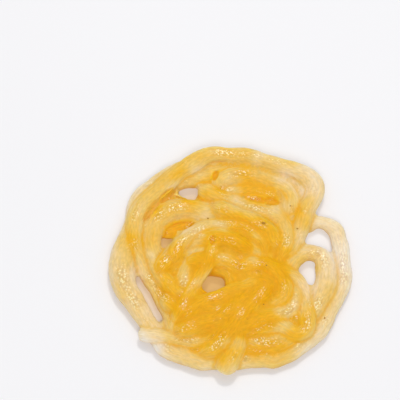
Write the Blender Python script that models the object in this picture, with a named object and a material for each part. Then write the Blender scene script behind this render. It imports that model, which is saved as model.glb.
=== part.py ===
"""Meshbak: a round of batter strands, piped in rings and loops into hot oil and soaked in syrup.

One continuous piece. The strands are laid one after another on a flat surface. Where a strand
crosses what is already there it climbs over it and settles into it, so they fuse into one body.
Origin at the middle of the underside, +Z up, the side nearest the eye towards -Y.
"""

import bpy
import bmesh
import numpy as np
from mathutils import Matrix

MM = 0.001

# Driving dimensions, in mm
HEIGHT_TO_WIDTH = 0.84  # a strand's section is a little flatter than round
FLAT_BASE = 0.6  # depth of the flat that a strand gets from lying on the pan
SETTLING = 9.0  # a strand laid on what is this high adds 1/e of its own height
DRAPE = 5.0  # length over which a strand bends down into a gap
BEARING = 0.6  # share of a strand's half width that bears on what is below
END_TAPER = 0.45  # width of a strand's end, as a share of its width
END_LENGTH = 5.0  # length over which an end narrows and sinks
END_DIP = 2.2  # how far an end sinks into what it lies on
STATION_STEP = 4.6  # distance between the sections of a strand's solid
PATH_STEP = 1.0  # distance between the points at which a strand's height is found
WELD = 0.02  # corners of the fused body closer than this become one

# The pan on which the strands are laid, as a square grid of heights
PAN_HALF = 68.0
PAN_CELL = 0.5

# Each strand's width and route, in the order in which they are laid. A point is (x, y), or
# (x, y, width) where the strand is thicker or thinner there.
STRANDS = {
    "outer_ring": (9.0, [
        (36, 16.5), (42, 20, 7.5), (48.5, 18, 8), (53, 12), (54.5, -7), (52, -16), (44.5, -31),
        (38.5, -38.5), (22, -49.5, 8.5), (15, -49.5, 8.5), (-8, -51), (-16, -50.5), (-30, -45),
        (-34.5, -39.5), (-46, -22, 11), (-50.5, -15, 12), (-52.5, -6.5, 13), (-52, 2, 12.5),
        (-50, 9.5, 12), (-48.5, 18), (-47, 27.5), (-41, 36, 10), (-24, 48, 10), (-7, 53.5),
        (9, 54), (29, 46.5), (35.5, 41), (37, 34), (34.5, 26.5), (29.5, 20)]),
    "under_eye": (9.5, [
        (-19, -9), (-12, -3.5), (-1, -5), (1.5, -13), (-3, -20), (-12, -20.5), (-19, -16)]),
    "under_right": (10.0, [(5, 20), (19, 13.5), (24, -2), (21, -14), (11, -23)]),
    "under_low": (10.0, [(-26, -36), (-18, -35), (-4, -37), (9, -33), (20, -31), (32.5, -31)]),
    "under_mid": (9.0, [(-24, 2.5), (-27, -5), (-29, -13), (-25, -23), (-11, -28), (6, -26)]),
    "under_hem": (7.0, [(-20, -45), (-5, -46), (12, -46), (25, -43)]),
    "under_petal": (7.5, [(-42, 16), (-39.5, 24.5), (-34.5, 30.5), (-28.5, 32.5, 7), (-19, 29, 6.5)]),
    "under_core": (8.0, [(-34, 14.5), (-27, 16.5), (-19, 18), (-12.5, 16), (-7.5, 11), (0.5, 0.5)]),
    "under_top": (7.0, [(5.5, 32.5), (13.5, 31.5), (29, 30.5)]),
    "under_rim": (9.5, [(-28, 39), (-21.5, 41.5), (-13, 43), (-3, 46), (8, 47.5)]),
    "right_loop": (9.5, [
        (28, -5), (31.5, 1), (37.5, 4), (44, 1.5), (46, -5, 11.5), (45.5, -13, 12), (39.5, -27),
        (30, -38.5, 9), (22.5, -42), (15, -42.5), (9.5, -40), (6, -34), (5, -27.5)]),
    "rim": (9.0, [
        (-26, -38), (-28.5, -29), (-36, -15.5, 7), (-40.5, -8, 8), (-46.5, 8), (-45, 24.5),
        (-33, 38, 10), (-18, 50, 10), (-6.5, 54.5), (14.5, 52), (33, 46), (39.5, 41.5, 11),
        (41.5, 34.5, 11), (36, 21, 9.5), (30, 7, 9.5), (26, 1.5)]),
    "left_petal": (10.5, [
        (-21, -21.5, 9), (-29, -14, 9), (-35.5, -3), (-38.5, 8), (-36.5, 18.5), (-31.5, 24.5, 11.5),
        (-25, 26.5, 11.5), (-9.5, 24.5), (-1.5, 21.5), (4, 15.5), (6, 7), (4, -1.5)]),
    "top_petal": (9.5, [(-5, 36.5), (-3.5, 42), (10.5, 44), (24.5, 38.5), (29, 32.5), (29.5, 24.5)]),
    "top_inner": (7.5, [(-16.5, 32), (-11.5, 32.5), (5.5, 37), (21, 34)]),
    "core_ring": (9.5, [
        (-24, -14.5), (-20.5, -5), (-15.5, 2), (-8.5, 7.5), (-0.5, 8.5), (15, 3.5), (18.5, -3),
        (18.5, -11), (14.5, -18)]),
    "core_bar": (9.0, [(-20, -2), (-3.5, -1.5), (5, -5.5), (13.5, -8.5), (20, -13)]),
    "hairpin": (8.5, [
        (4, -5.5), (12.5, -3.5), (28.5, -8.5), (34, -14), (36, -22), (36, -30), (35, -36), (30, -38),
        (23.5, -34.5, 9.5), (15, -34.5, 9.5), (7.5, -38)]),
    "hub_loop": (9.0, [(2.5, -37), (19, -30), (27, -26.5), (30.5, -21), (29, -14)]),
    "hub_inner": (9.0, [(15.5, -2.5), (22, -9.5), (25.5, -16), (23, -21.5), (15.5, -24.5)]),
    "low_bar": (9.0, [(-32.5, -20), (-26, -25), (-18, -27), (-1, -26), (6.5, -21.5), (10.5, -14.5)]),
    "low_inner": (10.0, [(-25, -36), (-7.5, -31.5), (1, -26.5), (7.5, -19.5)]),
    "diagonal": (8.0, [(-23.5, -30.5), (-11.5, -21.5), (-5.5, -19.5), (7.5, -14), (14, -11)]),
    "upright": (7.5, [(-26.5, -31.5), (-19, -16), (-11.5, -3), (-7.5, 9)]),
    "stub": (7.5, [(-44.5, -37, 8.5), (-31, -39.5), (-17, -42), (-9, -40.5), (2, -30.5)]),
    "tail": (8.0, [(8.5, -27), (4.5, -34.5), (3.5, -42), (0.5, -48.5, 9.5), (-4, -55.5, 13)]),
    "spoke": (9.0, [(17.5, -15.5), (1, -34), (-7, -44), (-13, -47)]),
    "bridge": (9.0, [
        (-14.5, 37.5), (-7.5, 33.5), (7, 27.5), (22, 23.5), (26.5, 18), (27.5, 9.5), (24.5, 2)]),
    "slope": (9.5, [(-7.5, 27), (10, 19.5), (17.5, 14), (21.5, 6)]),
    "lower_feather": (9.5, [(-34.5, -6), (-27, 4.5), (-19.5, 9), (-6, 10), (8, 5)]),
    "feather": (8.0, [(-28, -1), (-24, 7.5), (-14.5, 15), (-0.5, 17.5), (14, 10.5), (17.5, 3)]),
}


def clear_scene():
    for obj in list(bpy.data.objects):
        bpy.data.objects.remove(obj, do_unlink=True)


def smooth_route(width, points):
    """The strand's points joined by a smooth curve, as rows of x, y and width."""
    rows = np.array([(*p, width)[:3] for p in points], float)
    rows = np.vstack([2 * rows[0] - rows[1], rows, 2 * rows[-1] - rows[-2]])
    share = np.linspace(0, 1, 12, endpoint=False)[:, None]
    curve = []
    for before, start, end, after in zip(rows, rows[1:], rows[2:], rows[3:]):
        bend = 2 * before - 5 * start + 4 * end - after
        twist = -before + 3 * start - 3 * end + after
        curve.append(start + 0.5 * ((end - before) * share + bend * share**2 + twist * share**3))
    return np.vstack([*curve, rows[-2]])


def evenly_spaced(curve, step):
    """The same curve with its points a step apart, and the distance of each along it."""
    lengths = np.linalg.norm(np.diff(curve[:, :2], axis=0), axis=1)
    along = np.concatenate([[0], np.cumsum(lengths)])
    stations = np.linspace(0, along[-1], max(4, round(along[-1] / step) + 1))
    return np.stack([np.interp(stations, along, column) for column in curve.T], axis=1), stations


def near(pan, x, y, reach):
    """The part of the pan's grid within reach of a point, and its squared distances from it."""
    low = [int((v - reach + PAN_HALF) / PAN_CELL) for v in (x, y)]
    high = [int((v + reach + PAN_HALF) / PAN_CELL) + 1 for v in (x, y)]
    patch = pan[low[0]:high[0], low[1]:high[1]]
    dx = (np.arange(low[0], high[0]) + 0.5) * PAN_CELL - PAN_HALF - x
    dy = (np.arange(low[1], high[1]) + 0.5) * PAN_CELL - PAN_HALF - y
    return patch, dx[:, None]**2 + dy[None, :]**2


def softened(values, length):
    """Values along a strand, blurred over a length as a strand bends only gently."""
    reach = int(3 * length / PATH_STEP)
    weights = np.exp(-0.5 * (np.arange(-reach, reach + 1) * PATH_STEP / length)**2)
    return np.convolve(np.pad(values, reach, mode="edge"), weights / weights.sum(), "valid")


def laid(pan, curve):
    """Lays one strand on the pan: rows of x, y, z of its middle and half width."""
    rows, along = evenly_spaced(curve, PATH_STEP)
    half = rows[:, 2] / 2
    tall = half * HEIGHT_TO_WIDTH
    below = []
    for (x, y, _), reach in zip(rows, half * BEARING):
        patch, squared = near(pan, x, y, reach)
        below.append(patch[squared <= reach**2].mean())
    below = np.array(below)
    crest = below + 2 * tall * np.exp(-below / SETTLING) - FLAT_BASE * np.exp(-below)
    to_end = np.clip(np.minimum(along, along[-1] - along) / END_LENGTH, 0, 1)
    ease = np.sqrt(to_end * (2 - to_end))
    dip = np.where(below > 1, END_DIP, 0) * (1 - ease)
    middle = softened(crest, DRAPE) - tall - dip
    half = half * (END_TAPER + (1 - END_TAPER) * ease)
    for (x, y, _), z, reach in zip(rows, middle, half):
        patch, squared = near(pan, x, y, reach)
        rise = np.sqrt(np.clip(1 - squared / reach**2, 0, 1)) * reach * HEIGHT_TO_WIDTH
        np.maximum(patch, np.where(squared < reach**2, z + rise, 0), out=patch)
    return np.stack([rows[:, 0], rows[:, 1], middle, half], axis=1)


def lay_strands():
    """Every strand's middle line and half width, in mm, each laid on the ones before it."""
    cells = round(2 * PAN_HALF / PAN_CELL)
    pan = np.zeros((cells, cells))
    return {name: laid(pan, smooth_route(width, points)) for name, (width, points) in STRANDS.items()}


def tube(name, rows, collection):
    """A strand as a closed mesh: a round tube in a space stretched upwards, then flattened."""
    stations, _ = evenly_spaced(rows, STATION_STEP)
    data = bpy.data.curves.new(name, "CURVE")
    data.dimensions = "3D"
    data.twist_mode = "Z_UP"
    data.bevel_depth = MM
    data.bevel_resolution = 2
    data.use_fill_caps = True
    spline = data.splines.new("POLY")
    spline.points.add(len(stations) - 1)
    for point, (x, y, z, half) in zip(spline.points, stations):
        point.co = (x * MM, y * MM, z / HEIGHT_TO_WIDTH * MM, 1)
        point.radius = half
    guide = bpy.data.objects.new(name + "_curve", data)
    bpy.context.scene.collection.objects.link(guide)
    depsgraph = bpy.context.evaluated_depsgraph_get()
    mesh = bpy.data.meshes.new_from_object(guide.evaluated_get(depsgraph))
    bpy.data.objects.remove(guide)
    bm = bmesh.new()
    bm.from_mesh(mesh)
    bmesh.ops.remove_doubles(bm, verts=bm.verts, dist=1e-6)
    bmesh.ops.scale(bm, vec=(1, 1, HEIGHT_TO_WIDTH), verts=bm.verts)
    bmesh.ops.recalc_face_normals(bm, faces=bm.faces)
    bm.to_mesh(mesh)
    bm.free()
    strand = bpy.data.objects.new(name, mesh)
    collection.objects.link(strand)
    return strand


def new_collection(name):
    collection = bpy.data.collections.new(name)
    bpy.context.scene.collection.children.link(collection)
    return collection


def boolean(obj, operation, collection):
    modifier = obj.modifiers.new(operation.title(), "BOOLEAN")
    modifier.operation = operation
    modifier.solver = "EXACT"
    modifier.operand_type = "COLLECTION"
    modifier.collection = collection


def block_below_base(collection):
    """What lies under the pan's surface, to cut the strands' undersides flat."""
    side, thickness = 3 * PAN_HALF * MM, 20 * MM
    middle = (0, 0, -thickness / 2)
    bpy.ops.mesh.primitive_cube_add(size=1, location=middle, scale=(side, side, thickness))
    block = bpy.context.object
    block.name = "pan_block"
    for parent in list(block.users_collection):
        parent.objects.unlink(block)
    collection.objects.link(block)


def evaluated_mesh(obj):
    depsgraph = bpy.context.evaluated_depsgraph_get()
    return bpy.data.meshes.new_from_object(obj.evaluated_get(depsgraph))


def islands(bm):
    """The faces of each separate closed surface of a mesh."""
    left = set(bm.faces)
    found = []
    while left:
        island = set()
        edge_of_search = {left.pop()}
        while edge_of_search:
            island |= edge_of_search
            linked = {f for face in edge_of_search for edge in face.edges for f in edge.link_faces}
            edge_of_search = linked - island
        left -= island
        found.append(island)
    return found


def keep_outer_skin(mesh):
    """Fills the hollows that fusing sealed and drops loose scraps: only the largest surface stays."""
    bm = bmesh.new()
    bm.from_mesh(mesh)
    found = sorted(islands(bm), key=len)
    for island in found[:-1]:
        bmesh.ops.delete(bm, geom=list(island), context="FACES")
    bmesh.ops.remove_doubles(bm, verts=bm.verts, dist=WELD * MM)
    bmesh.ops.dissolve_degenerate(bm, edges=bm.edges, dist=WELD * MM)
    bm.to_mesh(mesh)
    bm.free()
    print("surfaces", [len(island) for island in found])


def centre_on_origin(mesh):
    """Moves the middle of the underside to the origin."""
    corners = np.array([v.co for v in mesh.vertices])
    middle = (corners.min(axis=0) + corners.max(axis=0)) / 2
    mesh.transform(Matrix.Translation((-middle[0], -middle[1], 0)))


def fried_dough():
    material = bpy.data.materials.new("syrup_soaked_fried_dough")
    material.use_nodes = True
    shader = material.node_tree.nodes["Principled BSDF"]
    shader.inputs["Base Color"].default_value = (0.80, 0.45, 0.08, 1)
    shader.inputs["Roughness"].default_value = 0.22
    shader.inputs["Metallic"].default_value = 0.0
    return material


def meshbak():
    strands = new_collection("strands")
    cutters = new_collection("cutters")
    tubes = [tube(name, rows, strands) for name, rows in lay_strands().items()]
    first = tubes[0]
    strands.objects.unlink(first)
    bpy.context.scene.collection.objects.link(first)
    boolean(first, "UNION", strands)
    block_below_base(cutters)
    boolean(first, "DIFFERENCE", cutters)
    mesh = evaluated_mesh(first)
    for obj in [*tubes, *cutters.objects]:
        bpy.data.objects.remove(obj)
    for collection in (strands, cutters):
        bpy.data.collections.remove(collection)
    keep_outer_skin(mesh)
    centre_on_origin(mesh)
    mesh.name = "meshbak"
    mesh.materials.clear()
    mesh.materials.append(fried_dough())
    mesh.shade_smooth()
    return bpy.data.objects.new("meshbak", mesh)


clear_scene()
piece = meshbak()
new_collection("meshbak").objects.link(piece)
corners = np.array([v.co for v in piece.data.vertices]) / MM
print("vertices", len(corners), "box", corners.min(axis=0).round(2), corners.max(axis=0).round(2))
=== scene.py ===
# %% [markdown]
# # Meshbak: a round of fried batter soaked in syrup
#
# The cook lets thin batter run from a nozzle into hot oil, in rings and loops that cross. The
# strands fuse where they touch, and the hot round then soaks in sugar syrup until it is glassy.
# This lesson rebuilds one in that order: the strands are laid, fused, swollen and blistered, and
# last comes the finish. The solid part gives the frame and the size.

# %% The frame
import math
import bmesh
import bpy
import numpy as np
from mathutils import Matrix, Vector, noise


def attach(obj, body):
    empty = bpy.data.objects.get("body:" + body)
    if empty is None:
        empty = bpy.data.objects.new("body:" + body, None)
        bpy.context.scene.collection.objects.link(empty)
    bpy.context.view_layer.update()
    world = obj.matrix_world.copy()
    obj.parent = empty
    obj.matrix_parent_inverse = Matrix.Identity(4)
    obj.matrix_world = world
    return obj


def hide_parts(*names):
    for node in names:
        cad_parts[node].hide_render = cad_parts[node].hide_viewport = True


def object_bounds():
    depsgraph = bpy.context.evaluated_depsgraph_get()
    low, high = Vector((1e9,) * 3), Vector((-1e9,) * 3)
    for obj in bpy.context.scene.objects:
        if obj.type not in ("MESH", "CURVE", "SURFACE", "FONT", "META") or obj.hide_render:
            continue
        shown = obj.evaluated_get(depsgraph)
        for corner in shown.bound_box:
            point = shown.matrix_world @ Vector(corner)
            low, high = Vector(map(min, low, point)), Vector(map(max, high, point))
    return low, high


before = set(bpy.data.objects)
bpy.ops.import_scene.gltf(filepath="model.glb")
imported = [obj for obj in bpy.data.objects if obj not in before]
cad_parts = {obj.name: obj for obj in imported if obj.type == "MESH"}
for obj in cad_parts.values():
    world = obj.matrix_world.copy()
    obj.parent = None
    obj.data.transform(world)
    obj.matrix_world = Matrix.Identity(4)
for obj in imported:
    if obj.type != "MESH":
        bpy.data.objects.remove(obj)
cad_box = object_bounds()
MM = 0.001
print("solid, mm:", [[round(v / MM, 2) for v in corner] for corner in cad_box])

# %% [markdown]
# ## The camera
#
# The photograph looks down steeply on the round, which fills most of the frame below the middle.
# A camera can be fitted by eye, but one real width and two pixels fix it: the round's width gives
# the scale, and its middle says where the camera aims. A long lens keeps the round from bulging.

# %% Camera
PHOTO_SIDE = 400  # pixels of the square photograph
ROUND_SPAN = 242  # pixels from the round's left edge to its right edge
ROUND_MIDDLE = (230, 262)  # pixel of the round's middle
ROUND_WIDTH = 120 * MM
ELEVATION = math.radians(68)
DISTANCE = 0.75
ROUTES_MIDDLE = (-0.04, 0.70)  # mm, the point of the strands' routes that is the solid's origin

pixel = ROUND_WIDTH / ROUND_SPAN
aim = Vector((
    (PHOTO_SIDE / 2 - ROUND_MIDDLE[0]) * pixel - ROUTES_MIDDLE[0] * MM,
    (ROUND_MIDDLE[1] - PHOTO_SIDE / 2) * pixel / math.sin(ELEVATION) - ROUTES_MIDDLE[1] * MM,
    0))
towards_eye = Vector((0, -math.cos(ELEVATION), math.sin(ELEVATION)))
camera_data = bpy.data.cameras.new("camera")
camera_data.lens = camera_data.sensor_width * DISTANCE / (PHOTO_SIDE * pixel)
camera_data.clip_start = 0.01
camera = bpy.data.objects.new("camera", camera_data)
camera.location = aim + DISTANCE * towards_eye
camera.rotation_euler = towards_eye.to_track_quat("Z", "Y").to_euler()
bpy.context.scene.collection.objects.link(camera)
bpy.context.scene.camera = camera
print("lens, mm:", round(camera_data.lens, 1), "aim, mm:", [round(v / MM, 1) for v in aim])

# %% [markdown]
# ## Adding nodes and naming colours
#
# Every finish below is a small graph of nodes. One helper adds a node, sets its properties and
# fills its sockets, with a value or with a link from another node. Colours are written as they
# look on a screen, in hex, and one function turns them into the linear light that Blender mixes.

# %% Helpers for materials


def linear(code):
    """The linear colour, with full alpha, of an sRGB hex code."""
    shares = [int(code[i:i + 2], 16) / 255 for i in (1, 3, 5)]
    return (*[s / 12.92 if s <= 0.04045 else ((s + 0.055) / 1.055) ** 2.4 for s in shares], 1)


def add(tree, kind, inputs=(), **settings):
    """Adds a node: settings are its properties, and inputs fill its sockets."""
    node = tree.nodes.new(kind)
    for name, value in settings.items():
        setattr(node, name, value)
    for socket, value in dict(inputs).items():
        if isinstance(value, bpy.types.NodeSocket):
            tree.links.new(value, node.inputs[socket])
        else:
            node.inputs[socket].default_value = value
    return node


def new_material(name):
    """An empty material: its node tree and its output node."""
    material = bpy.data.materials.new(name)
    material.use_nodes = True
    material.node_tree.nodes.clear()
    return material, material.node_tree, material.node_tree.nodes.new("ShaderNodeOutputMaterial")


print("amber in linear light:", [round(v, 3) for v in linear("#EEAE21")])

# %% [markdown]
# ## The board
#
# The round lies on something plain, flat and nearly white. A curved backdrop would hide a
# horizon, but this camera looks down and sees none, so one large square is enough.

# %% Board
BOARD_SIDE = 3.0
BOARD_GAP = 0.05 * MM  # keeps the round's flat underside out of the board's plane

bm = bmesh.new()
bmesh.ops.create_grid(bm, x_segments=1, y_segments=1, size=BOARD_SIDE / 2)
bmesh.ops.translate(bm, vec=(0, 0, -BOARD_GAP), verts=bm.verts)
floor_mesh = bpy.data.meshes.new("floor")
bm.to_mesh(floor_mesh)
bm.free()
floor = bpy.data.objects.new("floor", floor_mesh)
bpy.context.scene.collection.objects.link(floor)
print("board, m:", [round(v, 2) for v in floor_mesh.vertices[-1].co])

# %% [markdown]
# ## The board's finish: white, with painted light under the round
#
# Gaps in the round are as bright as the open board, though the round shades them. So the board's
# middle glows: that is painted light, for the light that comes through the translucent batter.
# Under the thickest part the board and its glow are amber, which is painted amber light. A weaker
# glow all over lightens the round's shadows. The board is matt and mirrors nothing. Real glass
# with lamps below would be slow and noisy, so the glow is written into the surface.

# %% Board with painted glow
CLOUD_SIZE = 167 * MM  # faint clouding, with no sharp edge
AMBER_LIGHT_MIDDLE = (-10 * MM, 0, 0)  # where the round is thickest
AMBER_LIGHT_FULL, AMBER_LIGHT_GONE = 20 * MM, 53 * MM  # distances from there
GLOW_FULL, GLOW_GONE = 42 * MM, 58 * MM  # distances from the middle
OUTER_GLOW_SHARE = 0.3  # share of the painted glow that the board keeps away from the round
BOARD_GLOW = 0.42  # painted light that comes up from the board under the round
BOARD_ROUGHNESS = 0.7

glowing_board, tree, output = new_material("white_board_painted_glow")
place = add(tree, "ShaderNodeTexCoord")
clouding = add(tree, "ShaderNodeTexNoise", {
    "Vector": place.outputs["Object"], "Scale": 1 / CLOUD_SIZE})
white = add(tree, "ShaderNodeMix", {
    "Factor": clouding.outputs["Fac"], "A": linear("#F8F7F8"), "B": linear("#F6F5F6")},
    data_type="RGBA")
from_thickest = add(tree, "ShaderNodeVectorMath", {
    0: place.outputs["Object"], 1: AMBER_LIGHT_MIDDLE}, operation="DISTANCE")
amber_light_share = add(tree, "ShaderNodeMapRange", {
    "Value": from_thickest.outputs["Value"], "From Min": AMBER_LIGHT_GONE, "From Max": AMBER_LIGHT_FULL},
    interpolation_type="SMOOTHSTEP")
# Painted amber light: the board is tinted amber under the thickest part of the round
white_and_amber_light = add(tree, "ShaderNodeMix", {
    "Factor": amber_light_share.outputs["Result"], "A": white.outputs["Result"], "B": linear("#ECC47C")},
    data_type="RGBA")
from_middle = add(tree, "ShaderNodeVectorMath", {0: place.outputs["Object"]}, operation="LENGTH")
glow_share = add(tree, "ShaderNodeMapRange", {
    "Value": from_middle.outputs["Value"], "From Min": GLOW_GONE, "From Max": GLOW_FULL,
    "To Min": OUTER_GLOW_SHARE}, interpolation_type="SMOOTHSTEP")
glow = add(tree, "ShaderNodeMath", {
    0: glow_share.outputs["Result"], 1: BOARD_GLOW}, operation="MULTIPLY")
# Where it glows, the board is darker, so that it looks no brighter than the rest
dimmed_under_glow = add(tree, "ShaderNodeMix", {
    "Factor": glow_share.outputs["Result"], "A": white_and_amber_light.outputs["Result"],
    "B": linear("#C6C6C6")}, data_type="RGBA", blend_type="MULTIPLY")
board = add(tree, "ShaderNodeBsdfPrincipled", {
    "Base Color": dimmed_under_glow.outputs["Result"], "Emission Color": white_and_amber_light.outputs["Result"],
    "Emission Strength": glow.outputs["Value"], "Roughness": BOARD_ROUGHNESS})
tree.links.new(board.outputs["BSDF"], output.inputs["Surface"])
floor_mesh.materials.append(glowing_board)
print("board's nodes:", len(tree.nodes))

# %% [markdown]
# ## Light
#
# The light is bright and soft. Panels behind and in front of the round give shadows with soft
# edges, a small lamp behind gives the broken glints that make syrup look wet, and a white room
# keeps the grooves from turning black. A picture of a room could light the scene too, but panels
# can be moved until each shadow falls as it should.

# %% Light
ROOM_LIGHT = 0.52


def panel(name, azimuth, elevation, distance, side, watts):
    """A square lamp that faces the round. Azimuth 0 is behind it, and 90 on its right."""
    turn, lift = math.radians(azimuth), math.radians(elevation)
    towards = Vector((
        math.sin(turn) * math.cos(lift), math.cos(turn) * math.cos(lift), math.sin(lift)))
    data = bpy.data.lights.new(name, "AREA")
    data.size = side
    data.energy = watts
    lamp = bpy.data.objects.new(name, data)
    lamp.location = towards * distance
    lamp.rotation_euler = towards.to_track_quat("Z", "Y").to_euler()
    bpy.context.scene.collection.objects.link(lamp)
    return lamp


panel("small_lamp", azimuth=10, elevation=62, distance=1.2, side=0.09, watts=3.0)
panel("back_panel", azimuth=0, elevation=62, distance=1.3, side=0.6, watts=1.8)
panel("front_panel", azimuth=180, elevation=58, distance=1.4, side=0.5, watts=5.2)

world = bpy.data.worlds.new("white_room")
world.use_nodes = True
room = world.node_tree.nodes["Background"]
room.inputs["Color"].default_value = linear("#FBFCFF")
room.inputs["Strength"].default_value = ROOM_LIGHT
bpy.context.scene.world = world
bpy.context.scene.view_settings.view_transform = "Standard"
print("lamps:", [(lamp.name, round(lamp.energy, 1)) for lamp in bpy.data.lights])

# %% [markdown]
# ## Where each strand runs
#
# A strand is known by its width and by the points it passes, in the order in which the batter was
# laid, so that later strands lie on earlier ones. The same routes make the solid part. The lattice
# could be sculpted from one block, but then nothing would cross as real strands do.

# %% Routes
# Each strand: its width, then its points as x and y, and a width where it differs, all in mm
STRANDS = {
    "outer_ring": (9.0, [
        (36, 16.5), (42, 20, 7.5), (48.5, 18, 8), (53, 12), (54.5, -7), (52, -16), (44.5, -31),
        (38.5, -38.5), (22, -49.5, 8.5), (15, -49.5, 8.5), (-8, -51), (-16, -50.5), (-30, -45),
        (-34.5, -39.5), (-46, -22, 11), (-50.5, -15, 12), (-52.5, -6.5, 13), (-52, 2, 12.5),
        (-50, 9.5, 12), (-48.5, 18), (-47, 27.5), (-41, 36, 10), (-24, 48, 10), (-7, 53.5),
        (9, 54), (29, 46.5), (35.5, 41), (37, 34), (34.5, 26.5), (29.5, 20)]),
    "under_eye": (9.5, [
        (-19, -9), (-12, -3.5), (-1, -5), (1.5, -13), (-3, -20), (-12, -20.5), (-19, -16)]),
    "under_right": (10.0, [(5, 20), (19, 13.5), (24, -2), (21, -14), (11, -23)]),
    "under_low": (10.0, [(-26, -36), (-18, -35), (-4, -37), (9, -33), (20, -31), (32.5, -31)]),
    "under_mid": (9.0, [(-24, 2.5), (-27, -5), (-29, -13), (-25, -23), (-11, -28), (6, -26)]),
    "under_hem": (7.0, [(-20, -45), (-5, -46), (12, -46), (25, -43)]),
    "under_petal": (7.5, [
        (-42, 16), (-39.5, 24.5), (-34.5, 30.5), (-28.5, 32.5, 7), (-19, 29, 6.5)]),
    "under_core": (8.0, [
        (-34, 14.5), (-27, 16.5), (-19, 18), (-12.5, 16), (-7.5, 11), (0.5, 0.5)]),
    "under_top": (7.0, [(5.5, 32.5), (13.5, 31.5), (29, 30.5)]),
    "under_rim": (9.5, [(-28, 39), (-21.5, 41.5), (-13, 43), (-3, 46), (8, 47.5)]),
    "right_loop": (9.5, [
        (28, -5), (31.5, 1), (37.5, 4), (44, 1.5), (46, -5, 11.5), (45.5, -13, 12), (39.5, -27),
        (30, -38.5, 9), (22.5, -42), (15, -42.5), (9.5, -40), (6, -34), (5, -27.5)]),
    "rim": (9.0, [
        (-26, -38), (-28.5, -29), (-36, -15.5, 7), (-40.5, -8, 8), (-46.5, 8), (-45, 24.5),
        (-33, 38, 10), (-18, 50, 10), (-6.5, 54.5), (14.5, 52), (33, 46), (39.5, 41.5, 11),
        (41.5, 34.5, 11), (36, 21, 9.5), (30, 7, 9.5), (26, 1.5)]),
    "left_petal": (10.5, [
        (-21, -21.5, 9), (-29, -14, 9), (-35.5, -3), (-38.5, 8), (-36.5, 18.5),
        (-31.5, 24.5, 11.5), (-25, 26.5, 11.5), (-9.5, 24.5), (-1.5, 21.5), (4, 15.5), (6, 7),
        (4, -1.5)]),
    "top_petal": (9.5, [
        (-5, 36.5), (-3.5, 42), (10.5, 44), (24.5, 38.5), (29, 32.5), (29.5, 24.5)]),
    "top_inner": (7.5, [(-16.5, 32), (-11.5, 32.5), (5.5, 37), (21, 34)]),
    "core_ring": (9.5, [
        (-24, -14.5), (-20.5, -5), (-15.5, 2), (-8.5, 7.5), (-0.5, 8.5), (15, 3.5), (18.5, -3),
        (18.5, -11), (14.5, -18)]),
    "core_bar": (9.0, [(-20, -2), (-3.5, -1.5), (5, -5.5), (13.5, -8.5), (20, -13)]),
    "hairpin": (8.5, [
        (4, -5.5), (12.5, -3.5), (28.5, -8.5), (34, -14), (36, -22), (36, -30), (35, -36),
        (30, -38), (23.5, -34.5, 9.5), (15, -34.5, 9.5), (7.5, -38)]),
    "hub_loop": (9.0, [(2.5, -37), (19, -30), (27, -26.5), (30.5, -21), (29, -14)]),
    "hub_inner": (9.0, [(15.5, -2.5), (22, -9.5), (25.5, -16), (23, -21.5), (15.5, -24.5)]),
    "low_bar": (9.0, [
        (-32.5, -20), (-26, -25), (-18, -27), (-1, -26), (6.5, -21.5), (10.5, -14.5)]),
    "low_inner": (10.0, [(-25, -36), (-7.5, -31.5), (1, -26.5), (7.5, -19.5)]),
    "diagonal": (8.0, [(-23.5, -30.5), (-11.5, -21.5), (-5.5, -19.5), (7.5, -14), (14, -11)]),
    "upright": (7.5, [(-26.5, -31.5), (-19, -16), (-11.5, -3), (-7.5, 9)]),
    "stub": (7.5, [(-44.5, -37, 8.5), (-31, -39.5), (-17, -42), (-9, -40.5), (2, -30.5)]),
    "tail": (8.0, [(8.5, -27), (4.5, -34.5), (3.5, -42), (0.5, -48.5, 9.5), (-4, -55.5, 13)]),
    "spoke": (9.0, [(17.5, -15.5), (1, -34), (-7, -44), (-13, -47)]),
    "bridge": (9.0, [
        (-14.5, 37.5), (-7.5, 33.5), (7, 27.5), (22, 23.5), (26.5, 18), (27.5, 9.5), (24.5, 2)]),
    "slope": (9.5, [(-7.5, 27), (10, 19.5), (17.5, 14), (21.5, 6)]),
    "lower_feather": (9.5, [(-34.5, -6), (-27, 4.5), (-19.5, 9), (-6, 10), (8, 5)]),
    "feather": (8.0, [(-28, -1), (-24, 7.5), (-14.5, 15), (-0.5, 17.5), (14, 10.5), (17.5, 3)]),
}
print(len(STRANDS), "strands, points:", sum(len(points) for _, points in STRANDS.values()))

# %% [markdown]
# ## From points to smooth routes
#
# Batter that runs from a nozzle has no corners. A Bezier curve needs two handles at every point,
# but a Catmull-Rom curve passes through the points alone. Its stations are then spaced evenly, so
# that each stands for the same length.

# %% Smooth routes
STEP = 1.0  # mm between the stations of a strand
PIECES = 12  # pieces of curve between two points
FEWEST_STATIONS = 4


def smooth_route(width, points):
    """The strand's points joined by a smooth curve, as rows of x, y and width."""
    rows = np.array([(*p, width)[:3] for p in points], float)
    rows[:, :2] -= ROUTES_MIDDLE
    rows = np.vstack([2 * rows[0] - rows[1], rows, 2 * rows[-1] - rows[-2]])
    share = np.linspace(0, 1, PIECES, endpoint=False)[:, None]
    curve = []
    for before, start, end, after in zip(rows, rows[1:], rows[2:], rows[3:]):
        bend = 2 * before - 5 * start + 4 * end - after
        twist = -before + 3 * start - 3 * end + after
        curve.append(start + 0.5 * ((end - before) * share + bend * share**2 + twist * share**3))
    return np.vstack([*curve, rows[-2]])


def evenly_spaced(curve, step):
    """The same curve with its points a step apart, and the distance of each along it."""
    lengths = np.linalg.norm(np.diff(curve[:, :2], axis=0), axis=1)
    along = np.concatenate([[0], np.cumsum(lengths)])
    stations = np.linspace(0, along[-1], max(FEWEST_STATIONS, round(along[-1] / step) + 1))
    return np.stack([np.interp(stations, along, column) for column in curve.T], axis=1), stations


routes = {name: evenly_spaced(smooth_route(*strand), STEP) for name, strand in STRANDS.items()}
print("all strands together, mm:", round(sum(along[-1] for _, along in routes.values())))

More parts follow.
